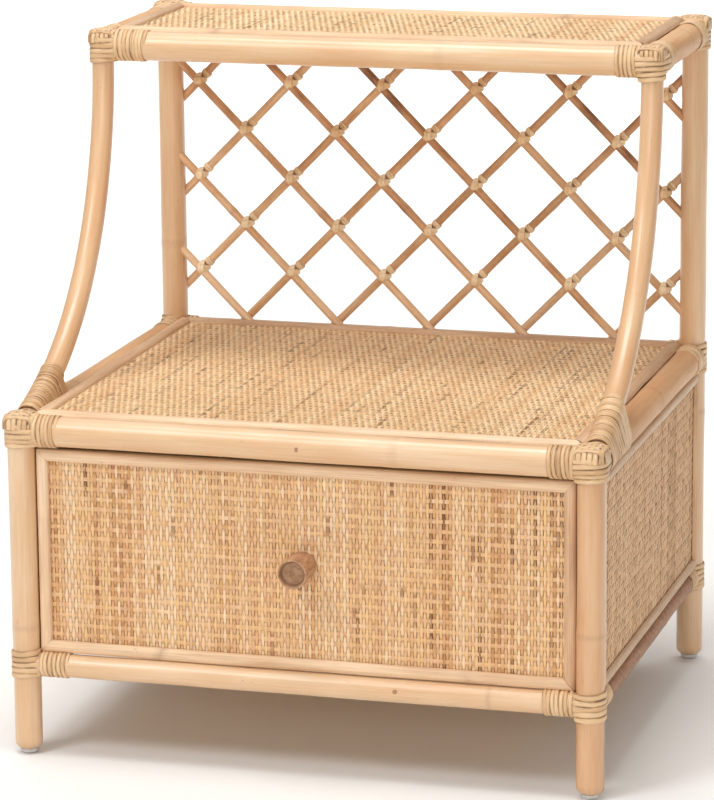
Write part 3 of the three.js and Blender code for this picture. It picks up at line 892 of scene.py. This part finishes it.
def camera():
    c, s = math.cos(CAMERA_PITCH), math.sin(CAMERA_PITCH)
    right = np.array([math.cos(CAMERA_YAW), math.sin(CAMERA_YAW), 0])
    ahead = np.array([-right[1] * c, right[0] * c, s])
    up = np.cross(right, ahead)
    c, s = math.cos(CAMERA_ROLL), math.sin(CAMERA_ROLL)
    data = bpy.data.cameras.new("camera")
    data.sensor_width = 36
    data.lens = CAMERA_LENS
    data.clip_end = 100
    data.dof.use_dof = False
    obj = bpy.data.objects.new("camera", data)
    rotation = Matrix((c * right + s * up, c * up - s * right, -ahead)).transposed()
    obj.matrix_world = Matrix.Translation(Vector(CAMERA_PLACE)) @ rotation.to_4x4()
    bpy.context.scene.collection.objects.link(obj)
    bpy.context.scene.camera = obj


def area_light(name, place, target, size, power, colour):
    data = bpy.data.lights.new(name, "AREA")
    data.shape = "RECTANGLE"
    data.size, data.size_y = size
    data.energy = power
    data.color = colour
    if name == "backdrop":
        data.spread = math.radians(BACKDROP_SPREAD)
    obj = bpy.data.objects.new(name, data)
    obj.location = place
    obj.rotation_euler = (Vector(target) - Vector(place)).to_track_quat("-Z", "Y").to_euler()
    bpy.context.scene.collection.objects.link(obj)


def studio():
    scene = bpy.context.scene
    scene.view_settings.view_transform = "Standard"
    world = bpy.data.worlds.new("studio")
    scene.world = world
    world.use_nodes = True
    background = world.node_tree.nodes["Background"]
    background.inputs["Color"].default_value = SKY_COLOUR
    background.inputs["Strength"].default_value = SKY_STRENGTH
    for light in LIGHTS:
        area_light(*light)
    tree = Tree("studio_floor")
    cloud = tree.node("TexNoise", {"Scale": 2.0, "Detail": 2.0}).outputs["Fac"]
    colour = tree.ramp(cloud, [(0.3, (246, 246, 245)), (0.7, (249, 249, 248))])
    material = tree.finish(colour, tree.span(cloud, 0.3, 0.7, 0.85, 0.95))
    mesh = bpy.data.meshes.new("floor")
    corners = [(-1, -1), (1, -1), (1, 1), (-1, 1)]
    mesh.from_pydata([(x * FLOOR_REACH, y * FLOOR_REACH, 0) for x, y in corners], [], [range(4)])
    mesh.materials.append(material)
    floor = bpy.data.objects.new("floor", mesh)
    scene.collection.objects.link(floor)


# ================================================================ frame


def uprights():
    for side in ("left", "right"):
        for end, kind in (("front", "leg"), ("rear", "post")):
            node = f"{end}_{side}_{kind}"
            x, y, _ = middle(node)
            path = [(x, y, low(node)[2]), (x, y, high(node)[2] - 0.5 * MM)]
            pole(f"{node}_pole", path, POST_R, node, round_ends=(6 * MM, 1.5 * MM), tone=TONES[node])
            glide(f"{end}_{side}_glide")


def glide(node):
    centre = middle(node)
    r, _, height = extent(node) / (2, 2, 1)
    # (part of the height, part of the radius)
    profile = [(0.0, 0.5), (0.03, 0.62), (0.12, 0.76), (0.3, 0.89), (0.55, 0.97), (1.0, 1.0),
               (1.1, 0.98)]
    path = [(centre[0], centre[1], low(node)[2] + f * height) for f, _ in profile]
    shape = Shape()
    shape.sweep(path, X, Y, circle(r, 40), scale=[g for _, g in profile], tone=0.5)
    shape.build(f"{node}_dome", GLIDE, CABINET, replaces=[node], sharp=50)


# Shade of a pole, from 0 for pale to 1 for dark.
TONES = {
    "front_left_leg": 0.25,
    "front_right_leg": 0.8,
    # Paler as painted light, for the light falling on this post from the left.
    "rear_left_post": 0.45,
    "rear_right_post": 0.25,
    "left_arm": 0.55,
    "right_arm": 0.55,
    "table_front_pole": 0.25,
    "shelf_front_pole": 0.25,
    "lower_front_rail": 0.2,
    "table_left_pole": 0.1,
    "table_right_pole": 0.5,
    # Dark as painted shade, for the shade under the drawer box.
    "lower_right_rail": 0.9,
}

# Poles and strips that are darker all over: stains, and on two of them painted shade.
STAINS_AND_SHADE = {
    # Painted shade, for the shade under the drawer box.
    "lower_right_rail": 1.0,
    "lower_left_rail": 0.3,
    "lower_rear_rail": 0.3,
    "table_right_strip": 0.25,
    "table_left_strip": 0.1,
    "table_rear_strip": 0.3,
    "shelf_right_strip": 0.5,
    "shelf_left_strip": 0.35,
    # Painted shade, darker along the bottom of the right side.
    "right_side_trim_lower": 0.5,
    "right_side_trim_upper": 0.4,
}

# Where a pole's node ring stands, as part of the pole's length from its left end.
RINGS = {
    "table_front_pole": 2 / 3,
    "shelf_front_pole": 5 / 8,
    "lower_front_rail": 5 / 6,
}


def level(what, kind):
    for end in ("front", "rear", "left", "right"):
        node = f"{what}_{end}_{kind}"
        axis = X if end in ("front", "rear") else Y
        reach = axis * (extent(node) / 2 + 2 * MM)
        path = [middle(node) - reach, middle(node) + reach]
        material = POLE if end in ("front", "rear") else SIDE_POLE
        pole(f"{node}_pole", path, extent(node)[2] / 2, node, material, tone=TONES.get(node),
             rings=[RINGS[node]] if node in RINGS else None, stain=STAINS_AND_SHADE.get(node, 0.0))


ARM_BEND_Z = 573 * MM  # where an arm leaves the upright and its arc begins
ARM_FOOT_SETBACK = 24 * MM  # front legs' axes to the end of an arm's axis
ARM_FOOT_RISE = 9 * MM  # table poles' axes up to the end of an arm's axis


def arm_path(x):
    """An arm's axis: straight down from the shelf, then one arc forward to the foot."""
    run = SHELF_Y - FRONT_Y - ARM_FOOT_SETBACK
    drop = ARM_BEND_Z - (TABLE_Z + ARM_FOOT_RISE)
    radius = (run**2 + drop**2) / (2 * run)
    angle = np.linspace(0, math.asin(drop / radius), 72)
    y = SHELF_Y - radius * (1 - np.cos(angle))
    z = ARM_BEND_Z - radius * np.sin(angle)
    upright = np.linspace(SHELF_Z + POLE_R, ARM_BEND_Z, 8, endpoint=False)
    above = np.stack([np.full(8, x), np.full(8, SHELF_Y), upright], axis=1)
    return np.vstack([above, np.stack([np.full(72, x), y, z], axis=1)])


def arms():
    for side, x in (("left", -POST_X), ("right", POST_X)):
        node = f"{side}_arm"
        pole(f"{node}_pole", arm_path(x), ARM_R, node, tone=TONES[node], sides=32, rings=[])


# ================================================================ joints


ARM_WRAP_TOP = 33 * MM  # where the wrap on an arm begins, above the table poles' axes
ARM_WRAP_PAST = 6 * MM  # how far it goes on past the end of the arm's axis
ARM_WRAP_TURN = 2.7 * MM  # length of arm that one turn covers
ARM_WRAP_STRAND = 3.1 * MM


def arm_wrap(shape, rng, x):
    """Cane round the foot of an arm, taking in the side pole where the two meet."""
    path = arm_path(x)
    length = lengths(path)
    start = np.interp(-(TABLE_Z + ARM_WRAP_TOP), -path[:, 2], length)
    end = length[-1] + ARM_WRAP_PAST
    steps = rng.uniform(0.6, 1.4, int(round((end - start) / ARM_WRAP_TURN)))
    at = start + np.concatenate([[0], np.cumsum(steps)]) / steps.sum() * (end - start)
    tangents = unit(np.gradient(path, axis=0))
    loops = []
    directions = unit(resample(at, length, tangents))
    for s, origin, t in zip(at, resample(at, length, path), directions):
        origin = origin + t * max(0.0, s - length[-1])
        u, v = X, np.cross(t, X)
        points = disc((0, 0), ARM_R + 0.1 * MM)
        if origin[2] - TABLE_Z < POLE_R + ARM_R + 8 * MM:
            px, pz = disc((x, TABLE_Z), POLE_R).T
            py = origin[1] - (pz - origin[2]) * t[2] / t[1]
            ring = np.stack([px, py, pz], axis=1) - origin
            points = np.vstack([points, np.stack([ring @ u, ring @ v], axis=1)])
        loops.append((points, origin, u, v, t))
    shade = 0.3 if x < 0 else 0.1
    wind(shape, rng, loops, ARM_WRAP_STRAND, 1.1 * MM, count=48, stray=0.36, shade=shade)


def corner_bindings():
    for side, sx in (("left", -1), ("right", 1)):
        x = sx * POST_X
        inward_x = -sx * X
        # (name, y, post radius, direction of side pole, z, pole radius, height of the cap)
        corners = [
            ("lower_front", FRONT_Y, POST_R, Y, RAIL_Z, RAIL_R, 0),
            ("lower_rear", REAR_Y, POST_R, -Y, RAIL_Z, RAIL_R, 0),
            ("table_front", FRONT_Y, POST_R, Y, TABLE_Z, POLE_R, 1.3 * MM),
            ("table_rear", REAR_Y, POST_R, -Y, TABLE_Z, POLE_R, 0),
            ("shelf_front", SHELF_Y, ARM_R, Y, SHELF_Z, POLE_R, 0.4 * MM),
            ("shelf_rear", REAR_Y, POST_R, -Y, SHELF_Z, POLE_R, 1.6 * MM),
        ]
        for place, y, post_r, inward_y, z, r, crown in corners:
            name = f"{place}_{side}_binding"
            rng = rng_for(name)
            shape = Shape()
            centre = np.array([x, y, z])
            begin = max(post_r, 11.5 * MM) + 1.0 * MM
            is_rail = r < POLE_R
            turns = WRAPS.get(f"{place}_{side}", 7)
            if "rear" in place and not is_rail:
                turns = 2
            shade = 0.15 if place == "table_front" else 0.0
            pole_wrap(shape, rng, centre + inward_x * begin, inward_x, turns * WRAP_TURN, r, turns,
                      shade=shade)
            if place == "table_front":
                pole_wrap(shape, rng, centre + inward_y * begin, inward_y, 18 * MM, r + 0.8 * MM, 6)
                arm_wrap(shape, rng, x)
            else:
                pole_wrap(shape, rng, centre + inward_y * begin, inward_y, 24 * MM, r, 7)
            poles = (inward_x, inward_y)
            if crown:
                drop = (2.6 if place == "shelf_front" else 1.2) * MM
                block(shape, rng, centre, post_r + 0.7 * MM, poles, r, z - r - drop, z + r * 0.52, 5)
                shift = (inward_x + inward_y) * 1.2 * MM
                cap(shape, rng, centre + shift, post_r + 2.6 * MM, z + r * 0.2, z + r + crown)
            else:
                fill, bands = (1.8 * MM, 5) if is_rail else (0.8 * MM, 6)
                block(shape, rng, centre, post_r, poles, r, z - r - fill, z + r + fill, bands)
            shape.build(name, BINDING, CABINET, sharp=70)


WRAP_TURN = 3.8 * MM  # length of pole that one turn of cane covers

# Turns in the wraps on the front poles, where there are not seven.
WRAPS = {
    "table_front_left": 6,
    "table_front_right": 6,
    "shelf_front_left": 8,
    "shelf_front_right": 5,
}


# ================================================================ lattice

HALF_X = 44.5 * MM  # half a diamond, across
ROWS = 6  # half diamonds from the lowest crossings to the highest
LOWEST = TABLE_Z + POLE_R + 2.9 * MM
HIGHEST = SHELF_Z - POLE_R - 0.9 * MM
HALF_Z = (HIGHEST - LOWEST) / ROWS
KNOT_SHIFT = np.array([1.2, 0, 1.0]) * MM  # a knot's middle from its crossing


def lattice():
    for layer, lean in (("front", -1), ("back", 1)):
        for n in range(8):
            node = f"lattice_{layer}_stick_{n + 1}"
            lo, hi, centre = low(node), high(node), middle(node)
            foot = lean * (4 - 2 * n) * HALF_X
            ends = []
            for x in (lo[0] - 1 * MM, hi[0] + 1 * MM):
                ends.append((x, centre[1], LOWEST + (x - foot) * lean * HALF_Z / HALF_X))
            rng = rng_for(node)
            # Each stick grows darker towards its top end: painted shade under the shelf. Front sticks
            # are also browner.
            base, top_shade = (0.0, 0.9) if lean < 0 else (-0.1, 0.65)
            base += rng.uniform(-0.25, 0.25)
            tone = tuple(base + top_shade * (e[2] - LOWEST) / (HIGHEST - LOWEST) for e in ends)
            pole(f"{node}_cane", ends, STICK_R, node, LATTICE, sides=18,
                 wobble=0.35 * MM, ring_depth=0.35 * MM, tone=tone, stain=0.35 * rng.random() ** 2)
    shape = Shape()
    for row in range(1, ROWS):
        for column in range(-5, 6):
            if column % 2 == row % 2:
                rng = rng_for(f"knot {row} {column}")
                centre = np.array([column * HALF_X, REAR_Y, LOWEST + row * HALF_Z])
                # Knots grow browner row by row upwards: painted shade under the shelf.
                tone = np.clip(0.12 * row - 0.15 + rng.uniform(-0.2, 0.3), 0, 1)
                knot(shape, rng, centre + KNOT_SHIFT, tone)
    shape.build("lattice_knots", KNOT, CABINET, sharp=70)


def knot(shape, rng, centre, tone):
    """Cane bound both ways over a crossing, and round the rear stick beside it."""
    rings = []
    for u, side, grow in ((X, Z, 0.0), (Z, X, 0.6 * MM)):
        reach = (6.0 + rng.uniform(-0.4, 0.5)) * MM
        for off in (-1.7 * MM, 1.6 * MM):
            rings.append((centre, u, side, reach, 2 * STICK_R + 1.0 * MM + grow, off, 4.1 * MM))
    along = unit(X + Z)
    beside = centre + along * (7.4 + rng.uniform(-0.4, 0.6)) * MM
    beside[1] = middle("lattice_back_stick_1")[1]
    for off in (-1.3 * MM, 1.5 * MM):
        r = STICK_R + (0.45 + rng.uniform(0, 0.35)) * MM
        rings.append((beside, unit(X - Z), along, r, r, off, 3.0 * MM))
    theta = np.linspace(0, TAU, 33)[:-1]
    c, s = np.cos(theta), np.sin(theta)
    for place, u, side, reach, deep, off, width in rings:
        gather = off * (0.3 + 0.7 * np.abs(s)) + 0.3 * MM * rng.uniform(-1, 1)
        path = place + np.outer(reach * c, u) + np.outer(deep * s, Y) + np.outer(gather, side)
        outward = unit(np.outer(c / reach, u) + np.outer(s / deep, Y))
        tangent = unit(np.roll(path, -1, axis=0) - np.roll(path, 1, axis=0))
        across = unit(np.cross(outward, tangent))
        shape.sweep(path, across, np.cross(tangent, across), strip_section(width, 1.0 * MM),
                    closed=True, scale=0.68 + 0.32 * np.abs(s), edge=STRIP_SHADE_AND_GRIME,
                    tone=np.clip(tone + rng.uniform(-0.15, 0.15), 0, 1), shift=rng.uniform(0, 60))


# ================================================================ woven panels


BOARD_DEPTH = 2.6 * MM  # woven face to the board under it
SNUG = 2.3 * MM  # a strip's outer edge is pressed this far into the crevice beside a pole
ENDS = ("front", "right", "rear", "left")


def panel(name, node, u, v, wood, cane_kind, inset, depth, along=0, **looks):
    """A board with a woven face that u x v points out of, in place of a panel."""
    out = np.cross(u, v)
    lo = low(node) + BOARD_DEPTH * np.maximum(-out, 0)
    hi = high(node) - BOARD_DEPTH * np.maximum(out, 0)
    board(f"{name}_board", lo, hi, wood, CABINET, replaces=[node], along=along)
    weave(f"{name}_weave", cane_kind, node, u, v, inset, depth, CABINET, **looks)


def round_the_edge(lo, hi, u, v, names):
    """Each side of a rectangle from lo to hi: its name, start, end and inward direction."""
    across, up = u * np.dot(hi - lo, u), v * np.dot(hi - lo, v)
    corners = [lo, lo + across, lo + across + up, lo + up]
    for k, (name, inward) in enumerate(zip(names, (v, -u, -v, u))):
        yield name, corners[k], corners[(k + 1) % 4], inward


def tops():
    for what, wood in (("table", SHADED_BACKING), ("shelf", PLYWOOD)):
        panel(what, f"{what}_panel", X, Y, wood, WEAVE_TOP, 3 * MM, 1.0 * MM, relief=0.6 * MM,
              tones=(0.42, 0.3), stains=0.12, gaps=0.1)
    nodes = [f"table_{end}_strip" for end in ENDS]
    lo = np.min([low(node) for node in nodes], axis=0)
    hi = np.max([high(node) for node in nodes], axis=0)
    for end, start, stop, inward in round_the_edge(lo, hi, X, Y, ENDS):
        node = f"table_{end}_strip"
        strip_piece(f"{node}_cane", start, stop, inward, Z, CABINET, node, SNUG)
    frame_node = "shelf_strip_frame"
    shape = Shape()
    for end, start, stop, inward in round_the_edge(low(frame_node), high(frame_node), X, Y, ENDS):
        half_round(shape, f"shelf_{end}_strip", start, stop, inward, Z, TRIM_W, TRIM_H, SNUG)
    shape.build("shelf_strips", SPLIT, CABINET, replaces=[frame_node], sharp=60)


def walls():
    side = {"relief": 0.8 * MM, "tones": (0.4, 0.44), "run": 0.2, "along": 1}
    back = {"relief": 0.45 * MM, "tones": (0.42, 0.34)}
    for name, u, looks in (("left_side", -Y, side), ("right_side", Y, side), ("back", -X, back)):
        node = f"{name}_panel"
        panel(name, node, u, Z, SHADED_BACKING, WEAVE_SIDE, 2 * MM, 1.3 * MM, **looks)
        trim_frame(f"{name}_trim", node, u)


SIDE_TRIM_W = 9 * MM
SIDE_TRIM_H = 3.4 * MM


def trim_frame(name, node, u):
    """Half-round strips round the edge of an upright panel's face."""
    out, along = np.cross(u, Z), np.abs(u)
    lo = np.where(out > 0, high(node), low(node))
    hi = np.where(out < 0, low(node), high(node))
    shape = Shape()
    for tag, start, end, inward in round_the_edge(lo, hi, along, Z, ("lower", "far", "upper", "near")):
        half_round(shape, f"{name}_{tag}", start, end, inward, out, SIDE_TRIM_W, SIDE_TRIM_H)
    shape.build(name, SPLIT, CABINET, sharp=60)


# ================================================================ drawer


def drawer():
    front = "drawer_front"
    lo, hi = low(front), high(front)
    board("drawer_front_board", lo + 1.6 * MM * Y, hi, PLYWOOD, DRAWER, replaces=[front])
    weave("drawer_weave", WEAVE_FRONT, front, X, Z, 3 * MM, 0.75 * MM, DRAWER, relief=0.3 * MM,
          tones=(0.46, 0.42), run=0.18, stains=0.1, thick=0.45 * MM, soil_and_shade=0.7)
    start = lo + np.array([1, 1.3, 1]) * MM
    end = np.array([hi[0] - 1 * MM, lo[1] + 2.2 * MM, hi[2] - 1 * MM])
    # A thin dark board behind the drawer's weave, darkened with painted shade for the shade seen
    # through the gaps.
    board("drawer_weave_backing", start, end, SHADED_BACKING, DRAWER, bevel=0.2 * MM)
    y = high("drawer_bottom_strip")[1]
    lo = np.array([low("drawer_left_strip")[0], y, low("drawer_bottom_strip")[2]])
    hi = np.array([high("drawer_right_strip")[0], y, high("drawer_top_strip")[2]])
    for end, start, stop, inward in round_the_edge(lo, hi, X, Z, ("bottom", "right", "top", "left")):
        node = f"drawer_{end}_strip"
        spread = (0.6 if end == "bottom" else 0.15) * MM
        strip_piece(f"{node}_cane", start, stop, inward, -Y, DRAWER, node, spread)
    for part, along in (("left_side", 1), ("right_side", 1), ("back", 0), ("bottom", 0)):
        node = f"drawer_{part}"
        board(f"{node}_board", low(node), high(node), PLYWOOD, DRAWER, replaces=[node], along=along)
    runner_wood = runner_material()
    for side in ("left", "right"):
        materials = bpy.data.objects[f"{side}_runner"].data.materials
        materials.clear()
        materials.append(runner_wood)
    knob()


def runner_material():
    """Runner wood for the CAD rails, from object space."""
    t = Tree("runner_wood")
    place = t.node("TexCoord", {}).outputs["Object"]
    scaled = t.node("Mapping", {"Vector": place, "Scale": (300, 8, 300)})
    lines = t.noise(scaled.outputs[0], detail=4, roughness=0.6, distortion=0.5)
    colour = t.ramp(lines, [(0.25, (224, 188, 140)), (0.55, (208, 168, 118)), (0.8, (172, 128, 82))])
    t.bump((lines, 0.0002))
    return t.finish(colour, t.span(lines, 0.3, 0.7, 0.55, 0.75))


DISH_RIM = 0.9  # part of the knob's radius inside which its end is a dish
DISH_DEPTH = 0.145  # of the knob's length


def knob():
    node = "drawer_knob"
    centre, base = middle(node), high(node)[1]
    r, length, _ = extent(node) / (2, 1, 1)
    # (part of the length, part of the radius), up the side, over the rim and into the dish
    profile = [(0.0, 0.93), (0.02, 0.935), (0.125, 0.96), (0.45, 0.982), (0.81, 1.0), (0.93, 1.0),
               (0.955, 0.997), (0.975, 0.985), (0.99, 0.965), (0.998, 0.94), (1.0, 0.915),
               (0.998, 0.89), (0.99, 0.875), (0.96, 0.855), (0.92, 0.825), (0.89, 0.79),
               (0.87, 0.74), (0.862, 0.69), (0.857, 0.5), (0.855, 0.1)]
    section = circle(r, 56)
    path = np.array([(centre[0], base - f * length, centre[2]) for f, _ in profile])
    shape = Shape()
    # Painted shade, with some grime, grows with the depth in the dish, and is lighter on its floor.
    depth = np.array([(1 - f) / DISH_DEPTH if g < DISH_RIM else 0.0 for f, g in profile])
    dish_shade_and_grime = np.clip(depth, 0, 1) * np.array([0.75 if g > 0.7 else 0.3 for _, g in profile])
    shape.sweep(path, X, Z, section, scale=[g for _, g in profile], tone=0.5,
                edge=np.repeat(dish_shade_and_grime[:, None], len(section), axis=1))
    shape.grain = [(shape.points[0] - centre * (1, 0, 1))[:, [1, 0, 2]]]
    shape.build("drawer_knob_turned", KNOB, DRAWER, replaces=[node], sharp=50)


# ================================================================ build

camera()
studio()
uprights()
level("lower", "rail")
level("table", "pole")
level("shelf", "pole")
arms()
corner_bindings()
lattice()
tops()
walls()
drawer()
nail_sink = 0.3 * MM
table_nail = np.array([0, FRONT_Y - POLE_R + nail_sink, TABLE_Z])
rail_nail = np.array([POST_X / 3, FRONT_Y - RAIL_R + nail_sink, RAIL_Z + 1.5 * MM])
cane_nail("table_front_nail", table_nail, -Y)
cane_nail("lower_front_nail", rail_nail, -Y)
